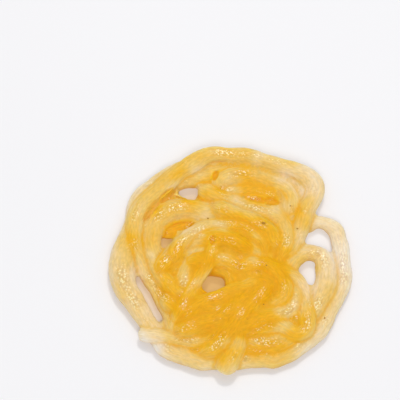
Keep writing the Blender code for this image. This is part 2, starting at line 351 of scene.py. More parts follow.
# %% [markdown]
# ## The pan
#
# Soft batter sags onto what is below it and sinks in, so a crossing is lower than two strands on
# top of each other. A physics engine could drop soft tubes, but a grid of heights over the pan is
# quicker and never fails. A second grid adds up how much batter lies over each spot, because
# that decides the colour.

# %% Pan
PAN_HALF = 68.0  # mm
PAN_CELL = 0.5  # mm

cells = round(2 * PAN_HALF / PAN_CELL)
heights = np.zeros((cells, cells))
batter = np.zeros((cells, cells))


def near(grid, x, y, reach):
    """The part of a grid within reach of a point, and its squared distances from it."""
    low = [int((v - reach + PAN_HALF) / PAN_CELL) for v in (x, y)]
    high = [int((v + reach + PAN_HALF) / PAN_CELL) + 1 for v in (x, y)]
    dx = (np.arange(low[0], high[0]) + 0.5) * PAN_CELL - PAN_HALF - x
    dy = (np.arange(low[1], high[1]) + 0.5) * PAN_CELL - PAN_HALF - y
    return grid[low[0]:high[0], low[1]:high[1]], dx[:, None]**2 + dy[None, :]**2


def softened(values, length, step):
    """A row of values a step apart, blurred over a length."""
    reach = int(3 * length / step)
    weights = np.exp(-0.5 * (np.arange(-reach, reach + 1) * step / length)**2)
    return np.convolve(np.pad(values, reach, mode="edge"), weights / weights.sum(), "valid")


print("pan:", cells, "by", cells, "cells of", PAN_CELL, "mm")

# %% [markdown]
# ## Laying the strands
#
# Each strand rests on the mean height under it, adds a share of its own height that shrinks with
# the pile, and then raises the grid for the strands that follow. Where its end lies on others it
# narrows and sinks in, as soft batter does when the nozzle lifts.

# %% Laying
HEIGHT_TO_WIDTH = 0.84  # a strand's section is a little flatter than round
FLAT_BASE = 0.6  # mm, depth of the flat that a strand gets from lying on the pan
SETTLING = 9.0  # mm, a strand laid on what is this high adds 1/e of its own height
DRAPE = 5.0  # mm over which a strand bends down into a gap
BEARING = 0.6  # share of a strand's half width that bears on what is below
END_TAPER = 0.45  # width of a strand's end, as a share of its width
END_LENGTH = 5.0  # mm over which an end narrows and sinks
END_DIP = 2.2  # mm that an end sinks into what it lies on
LEAST_PILE = 1.0  # mm, an end sinks only where it lies on more than this


def laid(rows, along):
    """Lays one strand: rows of x, y, z of its middle and half width."""
    half = rows[:, 2] / 2
    tall = half * HEIGHT_TO_WIDTH
    below = []
    for (x, y, _), reach in zip(rows, half * BEARING):
        bed, squared = near(heights, x, y, reach)
        below.append(bed[squared <= reach**2].mean())
    below = np.array(below)
    crest = below + 2 * tall * np.exp(-below / SETTLING) - FLAT_BASE * np.exp(-below)
    to_end = np.clip(np.minimum(along, along[-1] - along) / END_LENGTH, 0, 1)
    ease = np.sqrt(to_end * (2 - to_end))
    dip = np.where(below > LEAST_PILE, END_DIP, 0) * (1 - ease)
    middle = softened(crest, DRAPE, STEP) - tall - dip
    half = half * (END_TAPER + (1 - END_TAPER) * ease)
    layer = np.zeros_like(batter)
    for (x, y, _), z, reach in zip(rows, middle, half):
        bed, squared = near(heights, x, y, reach)
        rise = np.sqrt(np.clip(1 - squared / reach**2, 0, 1)) * reach * HEIGHT_TO_WIDTH
        np.maximum(bed, np.where(squared < reach**2, z + rise, 0), out=bed)
        np.maximum(near(layer, x, y, reach)[0], 2 * rise, out=near(layer, x, y, reach)[0])
    batter[:] += layer
    return np.stack([rows[:, 0], rows[:, 1], middle, half], axis=1)


strands = {name: laid(rows, along) for name, (rows, along) in routes.items()}
print("top, mm:", round(heights.max(), 2), "deepest batter, mm:", round(batter.max(), 1))

# %% [markdown]
# ## Pulses, wandering and syrup
#
# Batter comes in pulses, so each strand swells, thins and wanders a little along its way.
# Sculpting could show that, but noise along the strand treats the whole round alike and can be
# changed at any time. Syrup clings everywhere and stands in the low places.

# %% Unevenness
SWELL = 0.05  # share of its width by which a strand swells and thins
SWELL_LENGTH = 8.0  # mm
SWELL_SHIFT = 0.37  # keeps the swelling apart from the wandering in the noise
WANDER = 0.30  # mm
WANDER_LENGTH = 11.0  # mm
SYRUP_FILM = 0.25  # mm of syrup everywhere
# Where more syrup has filled the grooves: x, y and reach, then the depth that is added, in mm
SYRUP_POOLS = [(4, -18, 32, 0.75), (12, 38, 13, 0.9), (24, 33, 9, 0.5), (-14, 6, 14, 0.3)]


def syrup_depth(x, y):
    """How deep syrup clings at a place, in mm."""
    depth = SYRUP_FILM
    for pool_x, pool_y, reach, added in SYRUP_POOLS:
        depth = depth + added * np.exp(-(((x - pool_x)**2 + (y - pool_y)**2) / reach**2)**2)
    return depth


def wave(along, length, seed):
    """Smooth noise between about -1 and 1 along a strand."""
    return np.array([noise.noise(Vector((s / length, seed, 0.5))) for s in along]) * 2


def uneven(rows, along, seed):
    """The strand's rows with the pulses and wandering of hand-run batter."""
    rows = rows.copy()
    heading = np.gradient(rows[:, :2], axis=0)
    heading /= np.linalg.norm(heading, axis=1)[:, None]
    sideways = np.stack([heading[:, 1], -heading[:, 0]], axis=1)
    rows[:, :2] += WANDER * wave(along, WANDER_LENGTH, seed)[:, None] * sideways
    rows[:, 3] *= 1 + SWELL * wave(along, SWELL_LENGTH, seed + SWELL_SHIFT)
    return rows


strands = {
    name: uneven(rows, routes[name][1], seed) for seed, (name, rows) in enumerate(strands.items())}
print("syrup in the deepest pool, mm:", round(float(syrup_depth(*SYRUP_POOLS[1][:2])), 2))

# %% [markdown]
# ## Tubes
#
# A circle at the strand's first station is extruded from station to station, and a matrix takes
# each new ring to its place. A curve with a bevel makes tubes too, but not flatter than round and
# of changing width. Each ring is also grown by the syrup that clings there: the fused body is
# shrunk by as much later, which leaves the grooves filled and rounded, as liquid fills a corner.

# %% Tubes
SIDES = 20


def sections(rows):
    """A matrix for each station that takes a unit circle to the strand's section there."""
    headings = np.gradient(rows[:, :3], axis=0)
    grown = rows[:, 3] + syrup_depth(rows[:, 0], rows[:, 1])
    for (x, y, z, _), heading, half in zip(rows, headings, grown):
        forwards = Vector(heading).normalized()
        sideways = forwards.cross((0, 0, 1)).normalized()
        upwards = sideways.cross(forwards)
        turned = Matrix((sideways * half, upwards * half * HEIGHT_TO_WIDTH, forwards)).transposed()
        yield Matrix.Translation(Vector((x, y, z)) * MM) @ (turned * MM).to_4x4()


def tube(rows):
    """One strand as a closed tube of mesh."""
    bm = bmesh.new()
    first, *others = sections(rows)
    bmesh.ops.create_circle(bm, cap_ends=True, segments=SIDES, radius=1, matrix=first)
    end = next(iter(bm.faces))
    placed = first
    for section in others:
        end = bmesh.ops.extrude_discrete_faces(bm, faces=[end])["faces"][0]
        bmesh.ops.transform(bm, matrix=section @ placed.inverted(), verts=end.verts)
        placed = section
    bmesh.ops.holes_fill(bm, edges=bm.edges, sides=SIDES)
    bmesh.ops.recalc_face_normals(bm, faces=bm.faces)
    mesh = bpy.data.meshes.new("tube")
    bm.to_mesh(mesh)
    bm.free()
    return mesh


bm = bmesh.new()
for rows in strands.values():
    mesh = tube(rows)
    bm.from_mesh(mesh)
    bpy.data.meshes.remove(mesh)
tubes_mesh = bpy.data.meshes.new("tubes")
bm.to_mesh(tubes_mesh)
bm.free()
print("tubes:", len(tubes_mesh.vertices), "corners")

# %% [markdown]
# ## Fusing
#
# A Boolean union would keep a sharp crease at every crossing. A voxel remesh turns the tubes into
# one skin instead, and smoothing then melts the creases, as the batter did in the oil. The voxel
# is a little over half a millimetre, which is about one pixel of the picture.

# %% Fused body
VOXEL = 0.62 * MM
MELTING = 3  # rounds of smoothing
MELT_SHARE = 0.5  # how far each round moves a corner towards its neighbours

raw = bpy.data.objects.new("raw", tubes_mesh)
bpy.context.scene.collection.objects.link(raw)
fuse = raw.modifiers.new("Fuse", "REMESH")
fuse.mode = "VOXEL"
fuse.voxel_size = VOXEL
melt = raw.modifiers.new("Melt", "SMOOTH")
melt.factor = MELT_SHARE
melt.iterations = MELTING
depsgraph = bpy.context.evaluated_depsgraph_get()
dough_mesh = bpy.data.meshes.new_from_object(raw.evaluated_get(depsgraph))
bpy.data.objects.remove(raw)
dough_mesh.name = "meshbak_dough"
count = len(dough_mesh.vertices)
triangles = sum(len(face.vertices) - 2 for face in dough_mesh.polygons)
print("fused skin:", count, "corners,", triangles, "triangles")

# %% [markdown]
# ## Which strand is under each point
#
# Streaks in the batter run along the strand, so the finish has to know, at every point of the
# skin, how far along its strand it lies and how far round it. Unwrapping a lattice by hand would
# take a day. It is quicker to look up the nearest station of all strands, measured in shares of
# the strand's half width, because a point on the skin is one such share away.

# %% Nearest stations
STRAND_SPACING = 400.0  # mm between the patterns of two strands, so that no two are alike
CHUNKS = 60  # the corners are looked up in this many lots, to spare memory


def corner_array(mesh, what, name):
    """One vector for each corner of a mesh, in a numpy array."""
    values = np.empty(len(mesh.vertices) * 3, np.float32)
    getattr(mesh, what).foreach_get(name, values)
    return values.reshape(-1, 3)


stations = np.vstack(list(strands.values()))
squeeze = np.array([1, 1, 1 / HEIGHT_TO_WIDTH])
points = corner_array(dough_mesh, "vertices", "co") / MM
nearest = np.empty(count, int)
for chunk in np.array_split(np.arange(count), CHUNKS):
    gap = (points[chunk, None, :] - stations[None, :, :3]) * squeeze
    nearest[chunk] = ((gap**2).sum(axis=2) / stations[None, :, 3]**2).argmin(axis=1)
print("stations:", len(stations), "of which the skin uses", len(np.unique(nearest)))

# %% [markdown]
# ## The grain of each strand
#
# A fried strand is drawn out like toffee, so its marks are long and thin. Three numbers place
# them: how far along the strand a point lies, its angle round the strand and which strand it is.
# The angle keeps the marks as wide on a wall as on the crest, where a flat map would smear them.

# %% Strand coordinates
headings = np.vstack([np.gradient(rows[:, :3], axis=0) for rows in strands.values()])
headings /= np.linalg.norm(headings, axis=1)[:, None]
distances = np.concatenate([
    along + STRAND_SPACING * i for i, (_, along) in enumerate(routes.values())])
owners = np.concatenate([np.full(len(rows), i) for i, rows in enumerate(strands.values())])

offset = points - stations[nearest, :3]
sideways = np.cross(headings[nearest], [0, 0, 1])
sideways /= np.linalg.norm(sideways, axis=1)[:, None]
across = (offset * sideways).sum(axis=1) / stations[nearest, 3]
along = distances[nearest] + (offset * headings[nearest]).sum(axis=1)
around = np.arctan2(across * stations[nearest, 3], offset[:, 2] / HEIGHT_TO_WIDTH)
grain = np.stack([along, around, owners[nearest]], axis=1)
print("widest share across:", round(float(np.abs(across).max()), 2))

# %% [markdown]
# ## Shrinking back, and the marks of frying
#
# The skin now shrinks along its normals by the depth of syrup that each ring was grown by. Then
# come the marks of frying: soft lumps where the batter swelled, long faint ridges from the nozzle
# and, here and there, clusters of blisters. A bump map could fake them, but relief also changes
# the outline. All only press the skin in, so the round never grows past the size of its solid.

# %% Relief
LUMP_SIZE, LUMP_DEPTH = 5.5, 0.45  # mm
RIDGE_LENGTH, RIDGES_ROUND, RIDGE_DEPTH = 9.0, 3.2, 0.20  # mm, number per radian, mm
RIDGE_SHIFT = 7.7  # keeps the ridges of neighbouring strands apart in the noise
BLISTER_SIZE, BLISTER_DEPTH = 1.7, 0.22  # mm
BLISTER_RIM = 0.55  # distance from a blister's middle to its rim, in sizes
BLISTER_PATCH = 9.0  # mm
BLISTER_EDGE = (0.52, 0.66)  # noise between smooth skin and a cluster of blisters


def field(places, seed):
    """Smooth noise between 0 and 1 at each place."""
    return np.array([noise.noise(Vector(p) + Vector((seed, 0, 0))) for p in places]) * 0.5 + 0.5


def step_between(values, low, high):
    """0 below low and 1 above high, with a smooth step between."""
    share = np.clip((values - low) / (high - low), 0, 1)
    return share * share * (3 - 2 * share)


normals = corner_array(dough_mesh, "vertex_normals", "vector")
lumps = field(points / LUMP_SIZE, 3.1)
ridges = field(grain * (1 / RIDGE_LENGTH, RIDGES_ROUND, RIDGE_SHIFT), 11.3)
from_blister = np.array([noise.voronoi(Vector(p))[0][0] for p in points / BLISTER_SIZE])
blisters = 1 - step_between(from_blister, 0.0, BLISTER_RIM)
blistered = step_between(field(points / BLISTER_PATCH, 23.0), *BLISTER_EDGE)
pressed_in = (
    syrup_depth(points[:, 0], points[:, 1]) + LUMP_DEPTH * lumps + RIDGE_DEPTH * ridges
    + BLISTER_DEPTH * (1 - blisters) * blistered)
print("pressed in, mm: from", round(pressed_in.min(), 2), "to", round(pressed_in.max(), 2))

# %% [markdown]
# ## Where syrup has levelled the top
#
# Thick syrup stands in the dips and leaves the top of the round flatter than the strands alone.
# A fluid simulation would find its level, but a blurred map of the heights is close to it: the
# top of the skin is drawn towards that level, in places that are listed.

# %% Levelling
# Places where the syrup has levelled the top: x, y and reach in mm, and the share levelled
LEVEL_PLACES = [
    (4, -18, 34, 0.60), (14, 38, 15, 0.80), (-14, 6, 20, 0.50), (22, 20, 16, 0.50),
    (22, -42, 16, 0.60), (-12, -46, 14, 0.40), (-8, 54, 16, 0.50), (30, 46, 14, 0.50),
    (-50, 12, 12, 0.50), (-44, 32, 13, 0.50), (-26, 45, 12, 0.50),
]
LEVEL_SPREAD = 3.0  # mm over which the heights are blurred
LEVEL_DROP = 0.5  # mm that the syrup stands below the blurred heights
LEAST_COVER = 0.05  # keeps the mean sound where hardly any batter is near
TOP_SLOPE = (0.25, 0.75)  # upward share of the skin's direction, from wall to top
TOP_SHARE = 0.45  # share of the height from which the skin counts as the top


def blurred(grid, length):
    """A grid blurred over a length in both directions."""
    rows = np.array([softened(line, length, PAN_CELL) for line in grid])
    return np.array([softened(line, length, PAN_CELL) for line in rows.T]).T


def looked_up(grid, places):
    """The grid's value at each place."""
    index = np.clip(((places[:, :2] + PAN_HALF) / PAN_CELL).astype(int), 0, cells - 1)
    return grid[index[:, 0], index[:, 1]]


def round_patch(places, x, y, reach):
    """1 in the middle of a round patch, 0 well outside it."""
    return np.exp(-(((places[:, 0] - x)**2 + (places[:, 1] - y)**2) / reach**2)**2)


covered = blurred((batter > 0).astype(float), LEVEL_SPREAD)
mean_top = looked_up(blurred(heights, LEVEL_SPREAD) / np.maximum(covered, LEAST_COVER), points)
points = points - normals * pressed_in[:, None]
levelled = 0
for x, y, reach, share in LEVEL_PLACES:
    levelled = np.maximum(levelled, share * round_patch(points, x, y, reach))
is_top = step_between(normals[:, 2], *TOP_SLOPE) * (points[:, 2] > TOP_SHARE * mean_top)
points[:, 2] += levelled * is_top * (mean_top - LEVEL_DROP - points[:, 2])
print("share of the skin that is levelled:", round(float((levelled * is_top > 0.3).mean()), 2))

# %% [markdown]
# ## Gaps that show only deeper batter
#
# In some gaps the batter below shows, dark amber and with crisp edges. A Boolean cut would leave
# hard creases. Pressing the top of the skin down in a small ellipse keeps it in one piece, and
# the same ellipse later deepens the colour there, which is partly painted shade on the batter
# deep in the gap.

# %% Gaps
# x, y, half length and half width in mm, turn in degrees, and how deep the colour is there,
# partly painted shade
GAPS = [
    (17, 30, 8.0, 1.3, -8, 0.9), (20, 29.8, 3.5, 2.0, -10, 1.0), (-7.3, 42.7, 2.8, 1.6, 75, 0.9),
    (-8.8, 7.8, 2.4, 1.4, 80, 1.0), (-23.6, 16.8, 6.2, 2.5, 8, 1.0),
    (-29.2, 13.2, 4.6, 2.8, 60, 0.95), (-38.6, 24.5, 7.0, 1.7, 53, 0.65),
    (-31.2, 32.0, 5.5, 2.0, 42, 0.7), (-23.0, 31.5, 6.5, 0.7, -20, 0.7),
]
GAP_DEPTH = 1.2  # mm
GAP_RIM = (0.8, 1.1)  # shares of the ellipse's size between its floor and the skin around it

in_gap = np.zeros(count)
gap_shade_tone = np.zeros(count)
for x, y, half_length, half_width, degrees, tone in GAPS:
    turn = math.radians(degrees)
    dx, dy = points[:, 0] - x, points[:, 1] - y
    long = (dx * math.cos(turn) + dy * math.sin(turn)) / half_length
    wide = (dy * math.cos(turn) - dx * math.sin(turn)) / half_width
    inside = 1 - step_between(np.hypot(long, wide), *GAP_RIM)
    gap_shade_tone = np.where(inside > in_gap, tone, gap_shade_tone)
    in_gap = np.maximum(in_gap, inside)
points[:, 2] -= GAP_DEPTH * in_gap * is_top

low, high = [np.array(corner) / MM for corner in cad_box]
points = np.clip(points, low, high)
dough_mesh.vertices.foreach_set("co", (points * MM).astype(np.float32).ravel())
dough_mesh.update()
print("round, mm:", points.min(axis=0).round(2), points.max(axis=0).round(2))

# %% [markdown]
# ## How deep the colour is
#
# Syrup-soaked batter is like stained glass: one strand on a white surface looks pale cream, and
# three on top of each other glow deep amber. Light traced through the body would show that, but
# slowly and with noise, so the colour is painted from the grid of batter, blurred as light blurs
# inside it, which says how much there is around a point. Edges look deeper, painted for the longer
# way that light takes through them. Strands that lie under others or sunk below their
# surroundings look deeper too, which is painted shade.

# %% Depth of colour
LIGHT_SPREAD = 3.0  # mm that light wanders sideways in the dough
PALEST, DEEPEST = 2.0, 16.5  # mm of batter at both ends of the colour scale
SHOW_SHARPNESS, SHOW_THROUGH = 0.8, 0.25  # mm, share of the edges of hidden strands that shows
EDGE_DEPTH = 0.11  # how much deeper a strand's edge looks than its crest
STRAND_DEPTH, STRAND_TURN = 0.06, 2.4  # how much strands differ, radians from one to the next
UNDER_SHADE = 0.25  # painted shade: how much deeper the lowest strands look, under the others
SUNKEN_SHADE, SUNKEN_RANGE = 0.10, 6.0  # painted shade: how much deeper, and how many mm down
MOTTLE_SIZE, MOTTLE_DEPTH = 7.0, 0.07  # mm, share

covered = blurred((batter > 0).astype(float), LIGHT_SPREAD)
soft = blurred(batter, LIGHT_SPREAD)
amount = looked_up(soft / np.maximum(covered, LEAST_COVER), points)
surroundings = looked_up(blurred(heights, LIGHT_SPREAD), points)
hidden_edges = looked_up(blurred(batter, SHOW_SHARPNESS), points) - looked_up(soft, points)
is_under = np.array([name.startswith("under") for name in strands])[owners[nearest]]

depth = (amount + SHOW_THROUGH * hidden_edges - PALEST) / (DEEPEST - PALEST)
depth += EDGE_DEPTH * (np.clip(np.abs(across), 0, 1)**2 - 0.5)
depth += STRAND_DEPTH * np.sin(STRAND_TURN * owners[nearest])
depth += UNDER_SHADE * is_under
depth += SUNKEN_SHADE * np.clip((surroundings - points[:, 2]) / SUNKEN_RANGE, 0, 1)
depth += MOTTLE_DEPTH * (field(points / MOTTLE_SIZE, 41.0) - 0.5) * 2
print("depth of colour from the batter alone, mean:", round(float(depth.mean()), 2))

# %% [markdown]
# ## Stretches that took up more syrup, or less
#
# No two stretches soak alike: air in the crumb keeps some of them pale and opaque, and thin ones
# soak right through. That has no rule, so these soft round patches are placed and judged one by
# one, as a painter would glaze them.

# %% Tone
# x, y and reach in mm, and how much deeper the colour is
# Some stretches are partly painted light: the pale one at 35, 40 lightens the shade of a groove
TONE_STRETCHES = [
    (-17, 14, 8, -0.16), (-2, -2, 6, -0.15), (-50, -6, 12, -0.10), (54, -2, 14, -0.17),
    (5, 24, 8, -0.13), (18, 52, 8, -0.10), (40, 30, 9, -0.15), (29, 10, 7, -0.10),
    (13, 2, 5, 0.12), (24, -32, 6, -0.28), (14, 38, 11.5, 0.48), (21, -50, 13, 0.22),
    (21.5, 17, 8, 0.18), (-16, -13, 6, 0.15), (1, -52, 5, -0.12), (42, 0, 8, 0.15),
    (6, -20, 18, 0.12), (-8, -28, 12, 0.12), (4, 53, 13, -0.18), (20, 48, 10, -0.25),
    (35, 40, 10, -0.35), (-25, 42.5, 11, -0.26), (-14, 50, 8, -0.18), (-42, 34, 9, -0.18),
    (-49, 19, 10, -0.18), (-37, -15, 8, 0.18), (-26, -37, 4, -0.22), (-37, 9, 7, 0.22),
    (-32, 22, 7, 0.22), (-20, 25, 8, 0.22), (-17, 34, 8, 0.15), (-44, -3, 6, 0.12),
    (30, 35.5, 6, 0.36), (36, -5, 7, 0.20), (27, -22, 5, 0.10), (-20, -50, 9, 0.10),
    (-38, -42, 7, -0.38), (35, -40, 10, -0.12), (-6, 14, 5, -0.15), (26.5, 3.5, 6, -0.25),
]

for x, y, reach, deeper in TONE_STRETCHES:
    depth += deeper * round_patch(points, x, y, reach)
print("with the stretches, mean:", round(float(depth.mean()), 2))

# %% [markdown]
# ## Seams and lips: painted shade and highlight
#
# Where two strands meet, the crease between them is painted darker: painted shade. A strand's free
# edge has a paler lip, a painted highlight for the light that catches the edge. The mesh tells
# them apart: an edge whose ends belong to different strands lies on a seam. A little blurring
# from corner to corner takes the hard steps out.

# %% Seams
SEAM_SHADE = 0.12  # painted shade: how much deeper the line between two strands looks
LIP, LIP_HIGHLIGHT = (0.55, 0.80), 0.05  # shares of the half width, how much paler a lip looks, a painted highlight
SOFTENING = 1  # rounds of blurring


def spread(values, edges, rounds):
    """Values at the corners of a mesh, each drawn towards the mean of its neighbours."""
    ends = np.concatenate([edges, edges[:, ::-1]])
    neighbours = np.bincount(ends[:, 0], minlength=len(values))
    for _ in range(rounds):
        total = np.bincount(ends[:, 0], weights=values[ends[:, 1]], minlength=len(values))
        values = 0.5 * values + 0.5 * total / neighbours
    return values


ends = np.empty(len(dough_mesh.edges) * 2, np.int32)
dough_mesh.edges.foreach_get("vertices", ends)
ends = ends.reshape(-1, 2)
parted = owners[nearest[ends[:, 0]]] != owners[nearest[ends[:, 1]]]
seam = np.zeros(count)
seam[ends[parted].ravel()] = 1
lip_highlight = step_between(np.abs(across), *LIP) * (1 - seam)
depth += SEAM_SHADE * seam - LIP_HIGHLIGHT * lip_highlight
depth += in_gap * (gap_shade_tone - depth)
depth = np.clip(spread(depth, ends, SOFTENING), 0, 1)
print("corners on a seam:", int(seam.sum()), "mean depth of colour:", round(float(depth.mean()), 2))

# %% [markdown]
# ## Runny syrup, and painted shade underneath
#
# Most of the syrup has turned tacky and dull. Where it is still runny it glitters, along the
# crests. A strand's edge is painted darker and tan where it curls under towards the pan: painted
# shade. Both could be painted by hand, but patches and the skin's direction place them quickly.

# %% Wet, and painted shade underneath
WET_SIZE = 7.0  # mm
WET_EDGE = (0.60, 0.70)  # noise between tacky skin and a runny place
WET_BY_CHANCE = 0.5  # how wet such a place is, next to the stretches below
WET_CREST = (0.25, 0.6)  # shares of the half width over which the wetness ends
# Stretches where the syrup has stayed runny and glitters: x, y and reach, in mm
WET_STRETCHES = [
    (-49, 22, 5), (-27, 27, 6), (-36, 22, 4), (-17, 14, 5), (-25, 6, 6), (-32, -2, 4),
    (-4, 3, 5), (4, -4, 4), (14, -6, 3), (26, 8, 4), (12, 28, 6), (-2, 35, 4), (4, 46, 6),
    (-3, 55, 6), (14, 55, 4), (25, 52, 4), (54, -2, 5), (54, -9, 5), (42, -1, 6), (41, -24, 4),
    (28, -27, 6), (36, -34, 5), (16, -42, 7), (4.5, -53.5, 5), (-6, -44, 5), (-22, -41, 5),
    (-21, -13, 4), (-22, -25, 3), (-4, -25, 4), (-9, -18, 5), (-38, -12, 5), (-34, -20, 5),
    (-52, -12, 7), (-46, -22, 5),
]
UNDERCUT_SHADE = 0.5  # painted shade: how dark and tan the edge is where it is darkest
UNDERCUT_SLOPE = (-0.1, 0.5)  # upward share of the skin's direction, from shaded to not shaded
UNDERCUT_HEIGHT = (3.5, 6.0)  # mm, the same

wet = WET_BY_CHANCE * step_between(field(points / WET_SIZE, 67.0), *WET_EDGE)
for x, y, reach in WET_STRETCHES:
    wet = np.maximum(wet, round_patch(points, x, y, reach))
wet *= 1 - step_between(np.abs(across), *WET_CREST)
browned = (
    UNDERCUT_SHADE * (1 - step_between(normals[:, 2], *UNDERCUT_SLOPE))
    * (1 - step_between(points[:, 2], *UNDERCUT_HEIGHT)))
print("mean wetness:", round(float(wet.mean()), 2), "browning:", round(float(browned.mean()), 2))

# %% [markdown]
# ## Handing the values to the material
#
# A material can't see numpy arrays, but it can read attributes on the corners of the mesh. Vertex
# colours would do too, but named attributes say what they hold.

# %% Attributes
for name, values in {"depth": depth, "wet": wet, "browned": browned}.items():
    layer = dough_mesh.attributes.new(name, "FLOAT", "POINT")
    layer.data.foreach_set("value", values.astype(np.float32))
grain_layer = dough_mesh.attributes.new("grain", "FLOAT_VECTOR", "POINT")
grain_layer.data.foreach_set("vector", grain.astype(np.float32).ravel())
print("attributes:", [layer.name for layer in dough_mesh.attributes])

# %% [markdown]
# ## The finish: batter soaked in syrup
#
# The crumb is fried flour batter, pale and cloudy, and the syrup in its pores warms it to amber:
# one strand is cream, a pile of them deep gold. A dyed, see-through body would need light traced
# all the way through it, but a ramp of colours along the depth looks the same from outside. Faint
# streaks along the strand shift the depth, because batter is drawn out as it runs.

# %% Colour by depth
STREAK_LENGTH, STREAKS_ROUND = 8.0, 3.2  # mm, number per radian round the strand
STREAK_SHIFT = 0.07  # depth of colour

dough, tree, output = new_material("syrup_soaked_batter")
how_deep = add(tree, "ShaderNodeAttribute", attribute_name="depth")
strand_grain = add(tree, "ShaderNodeAttribute", attribute_name="grain")
drawn_out = add(tree, "ShaderNodeVectorMath", {
    0: strand_grain.outputs["Vector"], 1: (1 / STREAK_LENGTH, STREAKS_ROUND, 1)},
    operation="MULTIPLY")
streaks = add(tree, "ShaderNodeTexNoise", {
    "Vector": drawn_out.outputs["Vector"], "Scale": 1.0, "Detail": 4.0, "Roughness": 0.6})
streak_share = add(tree, "ShaderNodeMapRange", {
    "Value": streaks.outputs["Fac"], "From Min": 0.3, "From Max": 0.7,
    "To Min": -STREAK_SHIFT, "To Max": STREAK_SHIFT})
total = add(tree, "ShaderNodeMath", {
    0: how_deep.outputs["Fac"], 1: streak_share.outputs["Result"]},
    operation="ADD", use_clamp=True)
amber = add(tree, "ShaderNodeValToRGB", {"Fac": total.outputs["Value"]})
stops = [
    (0.0, "#F2E7D8"), (0.25, "#F2DAAD"), (0.5, "#EDCA72"), (0.75, "#F0BC29"), (1.0, "#EEB203")]
while len(amber.color_ramp.elements) < len(stops):
    amber.color_ramp.elements.new(0.5)
for element, (position, code) in zip(amber.color_ramp.elements, stops):
    element.position = position
    element.color = linear(code)
print("stops of the ramp:", [round(e.position, 2) for e in amber.color_ramp.elements])

# %% [markdown]
# ## Froth and painted glints under the syrup
#
# Fine bubbles in the batter show as a golden sparkle where clear syrup lies on them: cream dots,
# with darker syrup between. The cream dots are partly froth and partly painted glints, placed
# where the syrup is runny. Cells of Voronoi noise, stretched along the strand, give both. Real
# froth is under half a millimetre across, too fine for this picture, so the dots are drawn about
# a millimetre wide.

# %% Froth and painted glints
FROTH_GLINT_LENGTH, FROTH_GLINT_ROUND = 1.1, 5.5  # mm, number per radian round the strand
FROTH_GLINT_EDGE = (0.18, 0.42)  # shares of a cell's size between a bubble and the syrup round it
SYRUP_EDGE, SYRUP_SHARE = 0.75, 0.28  # where that syrup is deepest, how much of it then shows

runny = add(tree, "ShaderNodeAttribute", attribute_name="wet")
froth_glint_place = add(tree, "ShaderNodeVectorMath", {
    0: strand_grain.outputs["Vector"], 1: (1 / FROTH_GLINT_LENGTH, FROTH_GLINT_ROUND, 1)},
    operation="MULTIPLY")
froth_glint_cells = add(tree, "ShaderNodeTexVoronoi", {
    "Vector": froth_glint_place.outputs["Vector"], "Scale": 1.0})
froth_glint_dots = add(tree, "ShaderNodeMapRange", {
    "Value": froth_glint_cells.outputs["Distance"],
    "From Min": FROTH_GLINT_EDGE[1], "From Max": FROTH_GLINT_EDGE[0]})
froth_glint = add(tree, "ShaderNodeMath", {
    0: froth_glint_dots.outputs["Result"], 1: runny.outputs["Fac"]}, operation="MULTIPLY")
# Cream dots: froth, and painted glints
froth_glinted = add(tree, "ShaderNodeMix", {
    "Factor": froth_glint.outputs["Value"], "A": amber.outputs["Color"], "B": linear("#FFF4CC")},
    data_type="RGBA")
between_dots = add(tree, "ShaderNodeMapRange", {
    "Value": froth_glint_cells.outputs["Distance"], "From Min": FROTH_GLINT_EDGE[1], "From Max": SYRUP_EDGE,
    "To Max": SYRUP_SHARE})
syrup_between = add(tree, "ShaderNodeMath", {
    0: between_dots.outputs["Result"], 1: runny.outputs["Fac"]}, operation="MULTIPLY")
syrupy = add(tree, "ShaderNodeMix", {
    "Factor": syrup_between.outputs["Value"], "A": froth_glinted.outputs["Result"],
    "B": linear("#B87A10")}, data_type="RGBA")
print("a froth dot on a 9 mm strand, mm:", FROTH_GLINT_LENGTH, "by", round(4.5 / FROTH_GLINT_ROUND, 2))

# %% [markdown]
# ## Painted shade under the edges, and a fibrous crumb
#
# The edge that curls under the round gets painted shade: a tan is mixed in by that attribute. The
# crumb has short fibres, a shade lighter or darker, and a fine noise along the strand multiplies
# the colour. An image of real crumb would show more, but couldn't follow the strands.

# %% Painted shade underneath, and crumb
FIBRE_LENGTH, FIBRES_ROUND = 2.4, 5.0  # mm, number per radian round the strand
FIBRE_SHADE = (0.90, 1.07)  # the colour is multiplied by something between these

curled_under = add(tree, "ShaderNodeAttribute", attribute_name="browned")
# The tan is painted shade where the edge curls under
shade_mixed_in = add(tree, "ShaderNodeMix", {
    "Factor": curled_under.outputs["Fac"], "A": syrupy.outputs["Result"],
    "B": linear("#CC9A58")}, data_type="RGBA")
fibre_place = add(tree, "ShaderNodeVectorMath", {
    0: strand_grain.outputs["Vector"], 1: (1 / FIBRE_LENGTH, FIBRES_ROUND, 1)},
    operation="MULTIPLY")
fibres = add(tree, "ShaderNodeTexNoise", {
    "Vector": fibre_place.outputs["Vector"], "Scale": 1.0, "Detail": 2.0})
fibre_shade = add(tree, "ShaderNodeMapRange", {
    "Value": fibres.outputs["Fac"], "From Min": 0.3, "From Max": 0.7,
    "To Min": FIBRE_SHADE[0], "To Max": FIBRE_SHADE[1]})
crumbed = add(tree, "ShaderNodeMix", {
    "Factor": 1.0, "A": shade_mixed_in.outputs["Result"], "B": fibre_shade.outputs["Result"]},
    data_type="RGBA", blend_type="MULTIPLY")
print("a fibre on a 9 mm strand, mm:", FIBRE_LENGTH, "by", round(4.5 / FIBRES_ROUND, 2))

# %% [markdown]
# ## The skin of syrup
#
# Light wanders some millimetres through soaked batter before it comes out: that is subsurface
# scattering, and it makes the strands look soft. The skin is syrup with an index of refraction of
# 1.46, sharp where it is runny and dull where it has dried. A coat could carry the glints, but a
# coat's varying roughness is lost on export, so the skin's own roughness varies instead. Fine
# bubbles break the glints up.

